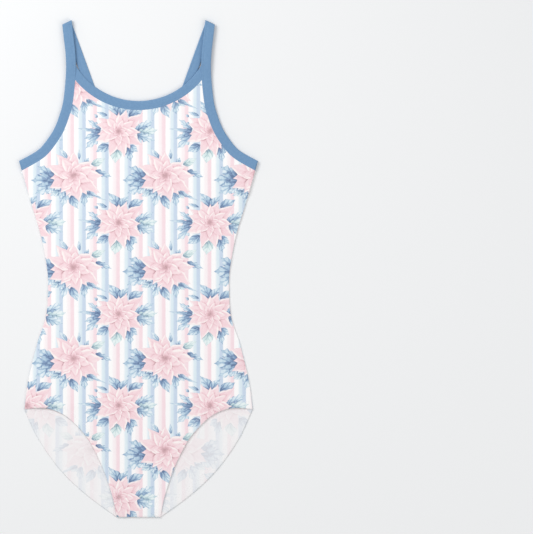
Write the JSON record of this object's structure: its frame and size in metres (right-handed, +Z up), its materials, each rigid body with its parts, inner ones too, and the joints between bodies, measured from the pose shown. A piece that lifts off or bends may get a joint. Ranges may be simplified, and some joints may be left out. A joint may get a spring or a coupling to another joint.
{
  "type": "camisole leotard",
  "caption": "Sleeveless one-piece stretch leotard with a scooped neck, low back, bound armholes that run on as thin straps, and high-cut legs, laid flat.",
  "frame": {"origin": "on the surface it lies on, under the middle of its outline", "axes": "+Y from the crotch seam to the shoulders, +Z up out of the front panel, +X to the wearer's left; the back panel lies face down on the surface"},
  "size_m": [0.2868, 0.596, 0.0054],
  "materials": {
    "printed_knit": "smooth stretch knit, slight sheen, pale floral and stripe print",
    "binding_knit": "plain mid-blue stretch knit, slight sheen"
  },
  "bodies": {
    "root": {"back_panel": "printed_knit", "front_panel": "printed_knit", "back_neck_band": "binding_knit", "front_neck_band": "binding_knit", "back_armhole_band_left": "binding_knit", "back_armhole_band_right": "binding_knit", "front_armhole_band_left": "binding_knit", "front_armhole_band_right": "binding_knit", "back_strap_left": "binding_knit", "back_strap_right": "binding_knit"}
  },
  "joints": []
}
